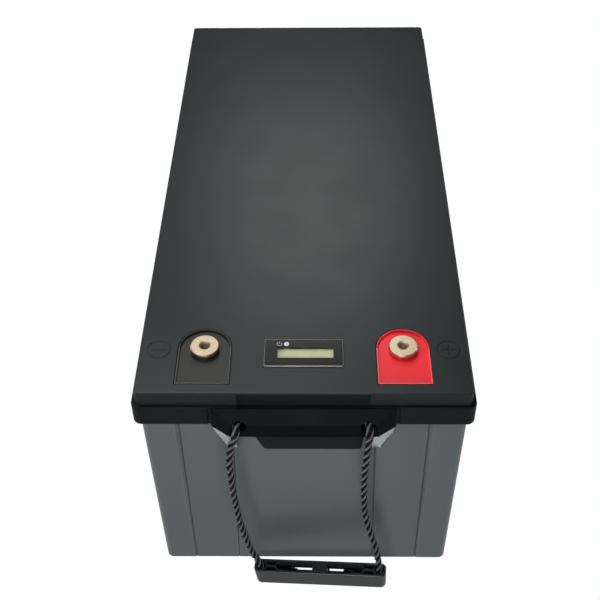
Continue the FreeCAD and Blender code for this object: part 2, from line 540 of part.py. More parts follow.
def make_cells():
    half = CELL_THICK / 2
    for index in range(CELL_COUNT):
        y = cell_y(index)
        can = box(-CELL_HALF_X, CELL_HALF_X, y - half, y + half, CELL_BOTTOM, CELL_TOP)
        can = can.makeFillet(2.0, upright_edges(can))
        vent = rounded_block(14, 6, 5.9, CELL_TOP - 0.4, CELL_TOP + 1, 0, y)
        studs = []
        for x in (-STUD_X, STUD_X):
            studs.append(cylinder(x, y, CELL_TOP - 1, TERMINAL_PAD_TOP, 9.0))
            studs.append(cylinder(x, y, CELL_TOP - 1, STUD_TOP, STUD_RADIUS))
        parts[f"cell_{index + 1}"] = fuse(cut(can, vent), *studs)
    parts["cell_separators"] = Part.makeCompound([
        box(-78, 78, cell_y(k) + half, cell_y(k + 1) - half, CELL_BOTTOM, CELL_TOP - 2)
        for k in range(CELL_COUNT - 1)])
    outer = STACK_HALF_Y + END_PLATE
    for name, sign in (("front", -1), ("back", 1)):
        y0, y1 = sorted((sign * STACK_HALF_Y, sign * outer))
        plate = box(-CELL_HALF_X, CELL_HALF_X, y0, y1, CELL_BOTTOM, CELL_TOP - 2)
        parts[f"{name}_end_plate"] = plate.makeFillet(2.2, upright_edges(plate, y=sign * outer))
    bands = []
    for z in (30.0, 88.0):
        bands.append(cut(rounded_block(CELL_HALF_X + 0.8, outer + 0.8, 3.0, z, z + 16),
                         rounded_block(CELL_HALF_X, outer, 2.2, z - 1, z + 17)))
    parts["stack_bands"] = Part.makeCompound(bands)


def make_busbars():
    spans = {"busbar_negative": (-1, 0, 1), "busbar_1": (1, 0, 3), "busbar_2": (-1, 2, 5),
             "busbar_3": (1, 4, 7), "busbar_positive": (-1, 6, 7)}
    for name, (side, first, last) in spans.items():
        x = side * STUD_X
        bar = rounded_block(BUSBAR_HALF, (cell_y(last) - cell_y(first)) / 2 + BUSBAR_HALF, 3.0,
                            TERMINAL_PAD_TOP, BUSBAR_TOP, x, (cell_y(first) + cell_y(last)) / 2)
        holes = [cylinder(x, cell_y(k), TERMINAL_PAD_TOP - 1, BUSBAR_TOP + 1, STUD_RADIUS + 0.3)
                 for k in range(first, last + 1)]
        parts[name] = cut(bar, *holes)
    parts["busbar_nuts"] = Part.makeCompound([
        cut(hexagon(x, cell_y(k), BUSBAR_TOP, BUSBAR_TOP + 5, 10),
            cylinder(x, cell_y(k), BUSBAR_TOP - 1, BUSBAR_TOP + 6, STUD_RADIUS + 0.03))
        for k in range(CELL_COUNT) for x in (-STUD_X, STUD_X)])


def make_packing():
    """Foam and insulation that hold the stack still in the case."""
    side_in, side_out = CELL_HALF_X + 1.2, 108.5
    end_in, end_out = STACK_HALF_Y + END_PLATE + 1.2, 236.0
    parts["base_pad"] = box(-105, 105, -230, 230, FLOOR, CELL_BOTTOM)
    parts["left_side_foam"] = box(-side_out, -side_in, -200, 200, CELL_BOTTOM, FOAM_TOP)
    parts["right_side_foam"] = box(side_in, side_out, -200, 200, CELL_BOTTOM, FOAM_TOP)
    parts["front_foam"] = box(-100, 100, -end_out, -end_in, CELL_BOTTOM, CELL_TOP - 10)
    parts["back_foam"] = box(-100, 100, end_in, end_out, CELL_BOTTOM, CELL_TOP - 10)
    parts["hold_down_foam"] = Part.makeCompound([
        box(4, 34, -180, -120, CELL_TOP, LID_UNDERSIDE), box(-30, 40, 165, 203, CELL_TOP, LID_UNDERSIDE)])


def make_bms():
    corners = [(sx * (BMS_HALF_X - 6), sy * (BMS_HALF_Y - 6)) for sx in (-1, 1) for sy in (-1, 1)]
    board = box(-106, 106, -110, 110, FOAM_TOP, BOARD_TOP)
    module = rounded_block(BMS_HALF_X, BMS_HALF_Y, 3.0, BOARD_TOP, BMS_TOP)
    screws = []
    for x, y in corners:
        board = cut(board, cylinder(x, y, FOAM_TOP - 1, BOARD_TOP + 1, 2.05))
        module = cut(module, cylinder(x, y, BOARD_TOP - 1, BMS_TOP + 1, 2.05))
        screws.append(fuse(cylinder(x, y, FOAM_TOP, BMS_TOP + 1, 2.0), cylinder(x, y, BMS_TOP, BMS_TOP + 3, 3.6)))
    parts["insulation_board"] = board
    parts["bms_module"] = module
    parts["bms_screws"] = Part.makeCompound(screws)
    sink = box(-62, 62, -BMS_HALF_Y + 2, BMS_HALF_Y - 2, BMS_TOP, BMS_TOP + 4)
    fins = [box(x - 1, x + 1, -BMS_HALF_Y + 2, BMS_HALF_Y - 2, BMS_TOP + 3, SINK_TOP)
            for x in range(-60, 61, 10)]
    parts["bms_heat_sink"] = fuse(sink, *fins)


def cable_lug(hole_x, hole_y, hole_radius, z0, z1, direction, reach):
    """A ring terminal: a flat ring with a barrel that the cable goes into."""
    ring = cylinder(hole_x, hole_y, z0, z1, hole_radius + 5)
    angle = math.degrees(math.atan2(direction[1], direction[0]))
    neck = turned(box(0, reach, -5.5, 5.5, z0, z1), angle).translated(Vector(hole_x, hole_y, 0))
    along = Vector(direction[0], direction[1], 0)
    middle = (z0 + z1) / 2
    start = Vector(hole_x, hole_y, middle) + along * (reach - 2)
    barrel = Part.makeCylinder(CABLE_RADIUS + 1, 14, start, along)
    bore = Part.makeCylinder(CABLE_RADIUS, 10, start + along * 4, along)
    return cut(fuse(ring, neck, barrel), bore, cylinder(hole_x, hole_y, z0 - 1, z1 + 1, hole_radius))


def make_wiring():
    post_lug = POST_SHANK_RADIUS + 0.1
    level = (LUG_PLATE_BOTTOM + LUG_PLATE_TOP) / 2
    bar_level = BUSBAR_TOP + 6.25
    bar_y = (cell_y(0) + cell_y(1)) / 2
    lugs = [cable_lug(side * TERMINAL_X, TERMINAL_Y, post_lug, LUG_PLATE_BOTTOM, LUG_PLATE_TOP, (0, 1), 18)
            for side in (-1, 1)]
    for y in (bar_y, -bar_y):
        foot = box(-STUD_X - 8, -STUD_X + 12, y - 7, y + 7, BUSBAR_TOP, BUSBAR_TOP + 2.5)
        barrel = Part.makeCylinder(CABLE_RADIUS + 1, 16, Vector(-STUD_X + 8, y, bar_level), Vector(1, 0, 0))
        bore = Part.makeCylinder(CABLE_RADIUS, 12, Vector(-STUD_X + 12, y, bar_level), Vector(1, 0, 0))
        lugs.append(cut(fuse(foot, barrel), bore))
    parts["cable_lugs"] = Part.makeCompound(lugs)
    start_x, post_y = -STUD_X + 12, TERMINAL_Y + 20
    positive = [(start_x, -bar_y, bar_level), (-20, -bar_y, bar_level), (10, 148, 143), (40, 124, 168),
                (64, 80, 184), (76, 28, 188), (78, -28, 188), (76, -80, 189), (72, -124, 195),
                (TERMINAL_X, -160, level), (TERMINAL_X, post_y, level)]
    pack_negative = [(start_x, bar_y, bar_level), (-18, bar_y, bar_level), (-2, -132, 137),
                     (-8, -106, 144), (-30, -86, 145), (-45, -70, 144), (-45, -BMS_HALF_Y, 144)]
    output_negative = [(14, -BMS_HALF_Y, 144), (14, -66, 144), (8, -92, 156), (-16, -116, 178),
                       (-44, -136, 193), (-66, -154, 201), (-TERMINAL_X, post_y + 6, level),
                       (-TERMINAL_X, post_y, level)]
    parts["positive_cable"] = tube("positive cable", positive, CABLE_RADIUS)
    parts["pack_negative_cable"] = tube("pack negative cable", pack_negative, CABLE_RADIUS)
    parts["output_negative_cable"] = tube("output negative cable", output_negative, CABLE_RADIUS)
    sense = [(40, BMS_HALF_Y, 144), (40, 62, 145), (39, 84, 144), (37, 104, 141), (35, 122, 134),
             (35, 137, 126), (38, 150, 123.5), (45.8, 153, 124)]
    parts["sense_harness"] = tube("sense harness", sense, LEAD_RADIUS)
    meter = [(15, METER_Y, 209.6), (16, -211, 200), (26, -204, 192), (46, -190, 186), (56, -164, 180),
             (58, -132, 174), (59, -100, 164), (60, -72, 150), (60, -BMS_HALF_Y, 145)]
    parts["meter_lead"] = tube("meter lead", meter, LEAD_RADIUS)


# ---------------------------------------------------------------- build


make_case()
make_lid()
make_terminals()
make_meter()
make_handles()
make_cells()
make_busbars()
make_packing()
make_bms()
make_wiring()

os.makedirs("parts", exist_ok=True)
for node, shape in parts.items():
    if not shape.isValid() or not shape.Solids:
        print(f"{node} is not a valid solid")
    shape.exportStep(f"parts/{node}.step")
print(f"{len(parts)} nodes")
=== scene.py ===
"""Looks for the battery pack: rope, materials, floor, light and camera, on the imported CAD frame. Metres."""

import bpy, bmesh, json, math

from mathutils import Matrix, Vector


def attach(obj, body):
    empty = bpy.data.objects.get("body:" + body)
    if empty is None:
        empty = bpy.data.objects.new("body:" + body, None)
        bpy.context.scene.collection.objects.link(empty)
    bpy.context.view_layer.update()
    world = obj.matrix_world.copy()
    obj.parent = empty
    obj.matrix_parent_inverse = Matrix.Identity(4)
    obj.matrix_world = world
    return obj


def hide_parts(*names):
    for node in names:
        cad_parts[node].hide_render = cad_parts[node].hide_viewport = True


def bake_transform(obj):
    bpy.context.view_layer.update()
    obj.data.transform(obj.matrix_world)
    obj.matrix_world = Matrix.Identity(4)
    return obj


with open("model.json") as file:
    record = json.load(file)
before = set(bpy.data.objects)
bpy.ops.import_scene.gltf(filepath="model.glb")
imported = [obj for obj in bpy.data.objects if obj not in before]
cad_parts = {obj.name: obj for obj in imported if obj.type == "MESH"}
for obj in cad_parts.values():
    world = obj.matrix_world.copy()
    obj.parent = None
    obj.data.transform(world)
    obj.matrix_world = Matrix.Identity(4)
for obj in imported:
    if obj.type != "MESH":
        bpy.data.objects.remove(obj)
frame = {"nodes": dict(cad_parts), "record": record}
nodes = frame["nodes"]
scene = bpy.context.scene
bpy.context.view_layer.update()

ROPE_DIAMETER = 0.0056
ROPE_LAY = 0.0250  # length over which a strand goes once round
ROPE_STEP = 0.0008
ROPE_TO_STRAND = 2.12  # rope radius over strand radius, where at 2.155 the strands would just touch
STRAND_SIDES = 10
END_TAPER = (0.72, 0.9, 0.97)  # size of a strand's last rings

LID_TOP, LID_STEP = 0.218, 0.2062
TOP_MARGIN = 0.0008
PLATE_X, PLATE_Y = 0.117, 0.2495  # just inside the sides of the lid's top tier
LUG_X, LUG_Y = 0.0656, 0.2530
LUG_LOW, LUG_HIGH = 0.1826, 0.2055
POCKET_MAX_Y = 0.2420
GUSSET_X, GUSSET_Y, GUSSET_TOP = 0.0492, 0.2456, 0.1824
COVER_RIM_LOW = 0.2175
TERMINAL_X, TERMINAL_Y = 0.071, -0.2077
TURNING_PITCH, THREAD_PITCH, THREAD_RADIUS = 0.00022, 0.00125, 0.0035
DISPLAY_DARK_TO, DISPLAY_PLAIN_FROM = -0.0195, -0.0125  # along X, at the display's left end
SEGMENT_PITCH_X, SEGMENT_PITCH_Y = 0.0042, 0.0031

FLOOR_GLOW = 0.55  # how bright the white floor looks from the object, against 1 from the camera
SKY_GLOW = 0.05  # the same for the sky, at its brightest
SKY_DIM_PART = 0.32  # the sky's dimmest part against its brightest
SKY_BRIGHT_WAY = Vector((-0.45, 0.35, 0.82))


# ---------------------------------------------------------------- camera


def make_camera():
    data = bpy.data.cameras.new("camera")
    data.sensor_width = 36
    data.lens = 61.875
    data.clip_start = 0.01
    camera = bpy.data.objects.new("camera", data)
    scene.collection.objects.link(camera)
    camera.location = (0.008917, -0.716439, 0.755883)
    camera.rotation_euler = [math.radians(a) for a in (46.0944, 0.6289, 0.6482)]
    scene.camera = camera


# ---------------------------------------------------------------- rope


def mm(points):
    return [Vector(p) / 1000 for p in points]


GRIP_PLACE = (Matrix.Translation((13.1, -266.5, 4.3)) @ Matrix.Rotation(math.radians(-5.0), 4, "Z")
              @ Matrix.Rotation(math.radians(-4.3), 4, "Y"))


def in_grip(along, z):
    """A point on the grip's middle plane, from its own length and height."""
    return tuple(GRIP_PLACE @ Vector((along, 0, z)))


def tail(side):
    """The rope's last stretch: down the grip's end hole, under its ribs and up into its pocket."""
    return [in_grip(side * 47.8, 21.0), in_grip(side * 47.8, 5.7), in_grip(side * 31.5, 5.7),
            in_grip(side * 26.8, 12.6), in_grip(side * 19.0, 12.9)]


LEFT_DROP = [(-48.4, -265.3, 187.0), (-52.4, -265.8, 175.7), (-53.5, -266.4, 158.0), (-53.0, -266.5, 138.0),
             (-52.1, -266.0, 118.0), (-51.1, -265.3, 99.0), (-49.1, -264.5, 79.0), (-46.0, -263.5, 58.0),
             (-42.3, -262.4, 38.0)]
RIGHT_DROP = [(45.7, -265.3, 187.0), (45.1, -265.7, 176.0), (44.0, -266.4, 159.0), (43.6, -266.9, 141.0),
              (43.9, -267.2, 122.0), (45.2, -267.6, 104.0), (47.9, -268.0, 86.0), (52.1, -268.6, 69.0),
              (56.8, -269.2, 50.0)]
BIGHT = [(-47.0, -265.2, 194.2), (-47.0, -258.9, 194.2), (-46.4, -252.1, 193.2), (-27.0, -251.9, 192.0),
         (-1.0, -251.9, 191.2), (25.0, -251.9, 192.0), (45.4, -252.1, 193.2), (46.0, -258.9, 194.2),
         (46.0, -265.2, 194.2)]
ROPE_ROUTE = [*reversed(tail(-1)), *reversed(LEFT_DROP), *BIGHT, *RIGHT_DROP, *tail(1)]


def smooth_line(points):
    """The points of the smooth line that the route's control points give."""
    curve = bpy.data.curves.new("line", "CURVE")
    curve.dimensions = "3D"
    curve.resolution_u = 20
    spline = curve.splines.new("NURBS")
    spline.points.add(len(points) - 1)
    for point, at in zip(spline.points, points):
        point.co = (*at, 1)
    spline.order_u = 3
    spline.use_endpoint_u = True
    carrier = bpy.data.objects.new("line", curve)
    scene.collection.objects.link(carrier)
    mesh = bpy.data.meshes.new_from_object(carrier)
    line = [v.co.copy() for v in mesh.vertices]
    bpy.data.objects.remove(carrier)
    bpy.data.curves.remove(curve)
    bpy.data.meshes.remove(mesh)
    return line


def even_steps(line, step):
    """Points at even distances along a line, each with the distance there."""
    lengths = [0.0]
    for a, b in zip(line, line[1:]):
        lengths.append(lengths[-1] + (b - a).length)
    count = round(lengths[-1] / step)
    out, k = [], 0
    for i in range(count + 1):
        s = lengths[-1] * i / count
        while k < len(line) - 2 and lengths[k + 1] < s:
            k += 1
        t = (s - lengths[k]) / (lengths[k + 1] - lengths[k])
        out.append((line[k].lerp(line[k + 1], t), s))
    return out


def frames_along(points):
    """A steady pair of cross directions at each point, with no twist of its own."""
    frames, across = [], None
    for i, point in enumerate(points):
        ahead = points[min(i + 1, len(points) - 1)] - points[max(i - 1, 0)]
        ahead.normalize()
        if across is None:
            across = ahead.orthogonal()
        across = (across - ahead * across.dot(ahead)).normalized()
        frames.append((point, across.copy(), ahead.cross(across)))
    return frames


def laid_rope(name, route):
    """Three strands laid round the route, with UVs (centimetres along, turns round) and crown marks."""
    line = smooth_line(route)
    steps = even_steps(line, ROPE_STEP)
    frames = frames_along([p for p, _ in steps])
    radius = ROPE_DIAMETER / 2
    strand_radius = radius / ROPE_TO_STRAND
    offset = radius - strand_radius
    bm = bmesh.new()
    uv_layer = bm.loops.layers.uv.new("UVMap")
    crown_layer = bm.verts.layers.float.new("crown")
    for strand in range(3):
        phase = 2 * math.pi * strand / 3
        centres = []
        for (point, across, up), (_, s) in zip(frames, steps):
            angle = phase + 2 * math.pi * s / ROPE_LAY
            centres.append(point + (across * math.cos(angle) + up * math.sin(angle)) * offset)
        rings = []
        last = len(centres) - 1
        for i, (centre, first, second) in enumerate(frames_along(centres)):
            from_end = min(i, last - i)
            size = strand_radius * (END_TAPER[from_end] if from_end < len(END_TAPER) else 1)
            ring = []
            for k in range(STRAND_SIDES):
                a = 2 * math.pi * k / STRAND_SIDES
                vert = bm.verts.new(centre + (first * math.cos(a) + second * math.sin(a)) * size)
                vert[crown_layer] = (vert.co - frames[i][0]).length / radius
                ring.append(vert)
            rings.append(ring)
        for i, (low, high) in enumerate(zip(rings, rings[1:])):
            for k in range(STRAND_SIDES):
                n = (k + 1) % STRAND_SIDES
                face = bm.faces.new((low[k], low[n], high[n], high[k]))
                face.smooth = True
                spots = ((i, k), (i, k + 1), (i + 1, k + 1), (i + 1, k))
                for loop, (row, turn) in zip(face.loops, spots):
                    loop[uv_layer].uv = (steps[row][1] * 100, turn / STRAND_SIDES)
        bm.faces.new(list(reversed(rings[0])))
        bm.faces.new(rings[-1])
    bmesh.ops.recalc_face_normals(bm, faces=bm.faces)
    mesh = bpy.data.meshes.new(name)
    bm.to_mesh(mesh)
    bm.free()
    rope = bpy.data.objects.new(name, mesh)
    scene.collection.objects.link(rope)
    return rope, line


def make_ropes():
    for end, body, turn in (("front", "front_handle", 1), ("back", "back_handle", -1)):
        route = [Vector((turn * p.x, turn * p.y, p.z)) for p in mm(ROPE_ROUTE)]
        rope, line = laid_rope(f"{end}_rope", route)
        rope.data.materials.append(ROPE)
        length = sum((b - a).length for a, b in zip(line, line[1:]))
        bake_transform(rope)
        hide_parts(f"{end}_rope_bight", f"{end}_rope_left", f"{end}_rope_right")
        print(f"{end} rope {length:.4f} m")


# ---------------------------------------------------------------- materials


class Look:
    """A material's node tree, with short calls for the nodes that it needs."""

    def __init__(self, name, rough=0.5, metallic=0.0, specular=0.5):
        self.material = bpy.data.materials.new(name)
        self.material.use_nodes = True
        self.tree = self.material.node_tree
        self.shader = self.tree.nodes["Principled BSDF"]
        self.shader.inputs["Roughness"].default_value = rough
        self.shader.inputs["Metallic"].default_value = metallic
        self.shader.inputs["Specular IOR Level"].default_value = specular
        self.place = self.node("ShaderNodeTexCoord").outputs["Object"]
        self.normal = None

    def node(self, kind, **settings):
        new = self.tree.nodes.new(kind)
        for key, value in settings.items():
            setattr(new, key, value)
        return new

    def join(self, output, target):
        self.tree.links.new(output, target)

    def math(self, operation, a, b=None):
        new = self.node("ShaderNodeMath", operation=operation)
        for socket, value in zip(new.inputs, (a, b)):
            if isinstance(value, (int, float)):
                socket.default_value = value
            elif value is not None:
                self.join(value, socket)
        return new.outputs[0]

    def noise(self, scale, detail=3.0, stretch=(1, 1, 1), rough=0.5):
        mapping = self.node("ShaderNodeMapping")
        mapping.inputs["Scale"].default_value = stretch
        self.join(self.place, mapping.inputs["Vector"])
        new = self.node("ShaderNodeTexNoise")
        new.inputs["Scale"].default_value = scale
        new.inputs["Detail"].default_value = detail
        new.inputs["Roughness"].default_value = rough
        self.join(mapping.outputs[0], new.inputs["Vector"])
        return new.outputs["Fac"]

    def span(self, value, low, high, from_low=0.2, from_high=0.8):
        new = self.node("ShaderNodeMapRange")
        limits = {"From Min": from_low, "From Max": from_high, "To Min": low, "To Max": high}
        for key, number in limits.items():
            new.inputs[key].default_value = number
        self.join(value, new.inputs["Value"])
        return new.outputs[0]

    def blend(self, factor, a, b):
        new = self.node("ShaderNodeMix", data_type="RGBA")
        self.join(factor, new.inputs[0])
        for socket, value in ((new.inputs[6], a), (new.inputs[7], b)):
            if isinstance(value, tuple):
                socket.default_value = (*value, 1)
            else:
                self.join(value, socket)
        return new.outputs[2]

    def color(self, value):
        if isinstance(value, tuple):
            self.shader.inputs["Base Color"].default_value = (*value, 1)
        else:
            self.join(value, self.shader.inputs["Base Color"])

    def rough(self, value):
        self.join(value, self.shader.inputs["Roughness"])

    def bump(self, height, distance, strength=1.0):
        new = self.node("ShaderNodeBump")
        new.inputs["Distance"].default_value = distance
        new.inputs["Strength"].default_value = strength
        self.join(height, new.inputs["Height"])
        if self.normal:
            self.join(self.normal, new.inputs["Normal"])
        self.normal = new.outputs[0]
        self.join(self.normal, self.shader.inputs["Normal"])

    def rounded_edges(self, radius):
        """Softens the shading across sharp edges."""
        new = self.node("ShaderNodeBevel", samples=4)
        new.inputs["Radius"].default_value = radius
        self.normal = new.outputs[0]
        self.join(self.normal, self.shader.inputs["Normal"])

    def along(self, axis):
        """The place along X, Y or Z."""
        split = self.node("ShaderNodeSeparateXYZ")
        self.join(self.place, split.inputs[0])
        return split.outputs[axis]


def moulded(name, base, rough, specular=0.5, vary=0.12, grain=900, grain_depth=0.00003, edge=0.0004):
    """Moulded plastic: fine grain, faint flow marks and uneven gloss."""
    look = Look(name, rough, 0, specular)
    if edge:
        look.rounded_edges(edge)
    darker = tuple(c * (1 - vary) for c in base)
    lighter = tuple(c * (1 + vary) for c in base)
    look.color(look.blend(look.span(look.noise(9, 5), 0, 1), darker, lighter))
    look.rough(look.span(look.noise(22, 2), rough * 0.94, rough * 1.05))
    look.bump(look.noise(grain, 2), grain_depth, 0.6)
    look.bump(look.noise(30, 3), 0.0002, 0.12)
    return look


def lid_top_painted_light():
    """The lid's top face: grained, and painted lighter than the lid's sides, as the light falling on it."""
    look = Look("lid_top_painted_light", 0.32, 0, 0.25)
    look.rounded_edges(0.0007)
    cloud = look.span(look.noise(6, 6, rough=0.6), 0, 1, 0.25, 0.75)
    look.color(look.blend(cloud, (0.0165, 0.0225, 0.0220), (0.0205, 0.0270, 0.0265)))
    look.rough(look.span(look.noise(26, 6), 0.28, 0.34))
    look.bump(look.noise(1000, 2), 0.00004, 0.55)
    look.bump(look.noise(38, 3), 0.00025, 0.10)
    return look.material


def lid_side():
    """The lid's smooth skirt, lugs and lips, painted darker than its top as shade."""
    look = Look("lid_side", 0.42, 0, 0.06)
    look.rounded_edges(0.0007)
    cloud = look.span(look.noise(6, 6, rough=0.6), 0, 1, 0.25, 0.75)
    look.color(look.blend(cloud, (0.0046, 0.0062, 0.0067), (0.0064, 0.0082, 0.0088)))
    look.rough(look.span(look.noise(26, 6), 0.36, 0.46))
    look.bump(look.noise(1400, 2), 0.00002, 0.4)
    look.bump(look.noise(38, 3), 0.00025, 0.12)
    return look.material


def lid_lug_painted_shade():
    """The rope lugs: smoother, and painted darker still, as shade."""
    look = Look("lid_lug_painted_shade", 0.46, 0, 0.03)
    look.rounded_edges(0.0006)
    look.color(look.blend(look.noise(30, 4), (0.0012, 0.0022, 0.0024), (0.0022, 0.0034, 0.0037)))
    look.rough(look.span(look.noise(60, 5), 0.4, 0.52))
    look.bump(look.noise(1400, 2), 0.00002, 0.4)
    return look.material


def lid_band_painted_light():
    """The upright band round the lid's top tier: smooth, and painted lighter than the skirt, as reflected
    light.
    """
    look = Look("lid_band_painted_light", 0.36, 0, 0.14)
    look.rounded_edges(0.0007)
    cloud = look.span(look.noise(9, 5), 0, 1)
    look.color(look.blend(cloud, (0.0085, 0.0112, 0.0112), (0.0115, 0.0148, 0.0148)))
    look.rough(look.span(look.noise(26, 6), 0.3, 0.42))
    look.bump(look.noise(1400, 2), 0.00002, 0.4)
    return look.material


def lid_edge():
    """The bevels round the terminal pockets, which are polished."""
    look = Look("lid_edge", 0.2, 0, 0.6)
    look.color(look.blend(look.noise(90, 4), (0.02, 0.024, 0.024), (0.03, 0.035, 0.035)))
    look.rough(look.span(look.noise(300, 4), 0.14, 0.3))
    return look.material


def case_plastic():
    """Grey moulded plastic, with painted shade in its grooves and inner corners and a painted highlight along
    its convex edges.

    Its uneven gloss stays above a roughness of 0.277. Where it crosses about 0.27, hard-edged patches show.
    """
    look = moulded("case_plastic", (0.064, 0.079, 0.084), 0.295, 0.5, 0.05, 850, 0.00003, 0.0010)
    base = look.shader.inputs["Base Color"].links[0].from_socket
    hidden = look.node("ShaderNodeAmbientOcclusion", samples=8, only_local=True)
    hidden.inputs["Distance"].default_value = 0.005
    # painted shade: darker where the occlusion node finds surfaces close by, in grooves and inner corners
    painted_groove_shade = look.span(hidden.outputs["AO"], 1, 0, 0.45, 0.95)
    groove_shaded_base = look.blend(painted_groove_shade, base, (0.026, 0.033, 0.036))
    soft = look.node("ShaderNodeBevel", samples=4)
    soft.inputs["Radius"].default_value = 0.0012
    turn = look.node("ShaderNodeVectorMath", operation="DOT_PRODUCT")
    look.join(soft.outputs[0], turn.inputs[0])
    look.join(look.node("ShaderNodeNewGeometry").outputs["True Normal"], turn.inputs[1])
    # painted highlight: a pale colour along convex edges, where the bevelled normal turns from the true one
    painted_highlight = look.math("MULTIPLY", look.span(turn.outputs["Value"], 0.6, 0, 0.90, 0.995),
                     look.span(hidden.outputs["AO"], 0, 1, 0.9, 1.0))
    look.color(look.blend(painted_highlight, groove_shaded_base, (0.19, 0.21, 0.22)))
    return look.material


def case_bracket_painted_highlight():
    """The gussets under the rope lugs: smooth, with a pale colour far lighter than the rest of the case that
    is a painted highlight.
    """
    return moulded("case_bracket_painted_highlight", (0.40, 0.44, 0.45), 0.24, 0.6, 0.06, 900, 0.00002, 0.0008).material


def cover_rim_painted_highlight(name, base):
    """A terminal cover's glossy outline, in a lighter tone that is a painted highlight."""
    return moulded(name, base, 0.2, 0.6, 0.12, 900, 0.00002, 0.0003).material


def brass(name, side, painted_shade_tone):
    """A turned post: rings on its faces and thread ridges in its hole."""
    look = Look(name, 0.36, 1.0, 0.5)
    look.rounded_edges(0.0003)
    middle = look.node("ShaderNodeVectorMath", operation="SUBTRACT")
    middle.inputs[1].default_value = (side * TERMINAL_X, TERMINAL_Y, 0)
    look.join(look.place, middle.inputs[0])
    flat = look.node("ShaderNodeVectorMath", operation="MULTIPLY")
    flat.inputs[1].default_value = (1, 1, 0)
    look.join(middle.outputs[0], flat.inputs[0])
    length = look.node("ShaderNodeVectorMath", operation="LENGTH")
    look.join(flat.outputs[0], length.inputs[0])
    radius = length.outputs["Value"]
    rings = look.math("SINE", look.math("MULTIPLY", radius, 2 * math.pi / TURNING_PITCH))
    ridges = look.math("SINE", look.math("MULTIPLY", look.along(2), 2 * math.pi / THREAD_PITCH))
    in_hole = look.span(radius, 1, 0, THREAD_RADIUS, THREAD_RADIUS + 0.0001)
    stain = look.span(look.noise(240, 5), 0, 1)
    # tone makes one post's brass darker than the other's, as painted shade
    low, high = (tuple(painted_shade_tone * c for c in base) for base in ((0.80, 0.64, 0.43), (0.90, 0.75, 0.54)))
    look.color(look.blend(stain, low, high))
    look.rough(look.span(look.noise(500, 4), 0.32, 0.42))
    look.bump(rings, 0.000003, 0.35)
    look.bump(look.math("MULTIPLY", ridges, in_hole), 0.0003, 1.0)
    return look.material


def display_glass():
    """The meter's display: pale, with a darker left end and faint unlit segments."""
    look = Look("display_glass", 0.3, 0, 0.4)
    x, y = look.along(0), look.along(1)
    left = look.span(x, 1, 0, DISPLAY_DARK_TO, DISPLAY_PLAIN_FROM)
    mottle = look.span(look.noise(160, 4), 0, 1)
    plain = look.blend(mottle, (0.61, 0.62, 0.33), (0.65, 0.65, 0.36))
    bars = look.math("SINE", look.math("MULTIPLY", x, 2 * math.pi / SEGMENT_PITCH_X))
    band = look.math("SINE", look.math("MULTIPLY", y, 2 * math.pi / SEGMENT_PITCH_Y))
    segments = look.span(look.math("MULTIPLY", bars, band), 0, 0.05, 0.3, 0.9)
    shaded = look.blend(segments, plain, (0.42, 0.42, 0.22))
    look.color(look.blend(look.math("MULTIPLY", left, 0.5), shaded, (0.22, 0.19, 0.11)))
    look.bump(look.noise(2200, 1), 0.000005, 0.3)
    return look.material


def clear_lens():
    look = Look("meter_lens_glass", 0.05, 0, 0.5)
    look.shader.inputs["Alpha"].default_value = 0.07
    look.color(look.blend(look.span(look.noise(300, 2), 0, 1), (0.55, 0.58, 0.54), (0.6, 0.62, 0.58)))
    look.rough(look.span(look.noise(120, 3), 0.03, 0.09))
    return look.material


def rope_fibre():
    """Black filament yarns that run along the rope across each strand, with a painted highlight along each
    strand's crown.
    """
    look = Look("rope_fibre", 0.3, 0, 0.16)
    split = look.node("ShaderNodeSeparateXYZ")
    look.join(look.node("ShaderNodeTexCoord").outputs["UV"], split.inputs[0])
    along, around = split.outputs[0], split.outputs[1]
    yarns_round, yarns_per_centimetre = 9.0, 5.5
    skew = look.math("ADD", look.math("MULTIPLY", around, yarns_round),
                     look.math("MULTIPLY", along, yarns_per_centimetre))
    yarns = look.math("SINE", look.math("MULTIPLY", skew, 2 * math.pi))
    height = look.node("ShaderNodeAttribute", attribute_name="crown").outputs["Fac"]
    crown = look.span(height, 0, 1, 0.88, 1.0)
    # painted highlight: a paler colour on the outermost crown of each strand
    painted_highlight = look.blend(look.noise(700, 4), (0.052, 0.060, 0.066), (0.125, 0.138, 0.146))
    look.color(look.blend(crown, (0.0008, 0.0009, 0.001), painted_highlight))
    look.rough(look.span(crown, 0.75, 0.2, 0, 1))
    look.bump(yarns, 0.00004, 0.5)
    return look.material


def metal(name, base, rough, grain=(1, 1, 1), scale=300):
    """Metal with fine grain lines, which lie across the long stretch."""
    look = Look(name, rough, 1.0, 0.5)
    look.rounded_edges(0.0003)
    darker = tuple(c * 0.86 for c in base)
    look.color(look.blend(look.span(look.noise(40, 5), 0, 1), darker, base))
    look.rough(look.span(look.noise(scale, 5, grain), rough * 0.75, rough * 1.3))
    look.bump(look.noise(scale * 2, 4, grain), 0.00002, 0.4)
    return look.material


def rubbery(name, base, rough=0.6, pores=700, depth=0.0001):
    look = Look(name, rough, 0, 0.4)
    darker = tuple(c * 0.8 for c in base)
    look.color(look.blend(look.span(look.noise(60, 5), 0, 1), darker, base))
    look.rough(look.span(look.noise(90, 4), rough * 0.85, min(1, rough * 1.15)))
    look.bump(look.noise(pores, 3), depth, 0.6)
    return look.material


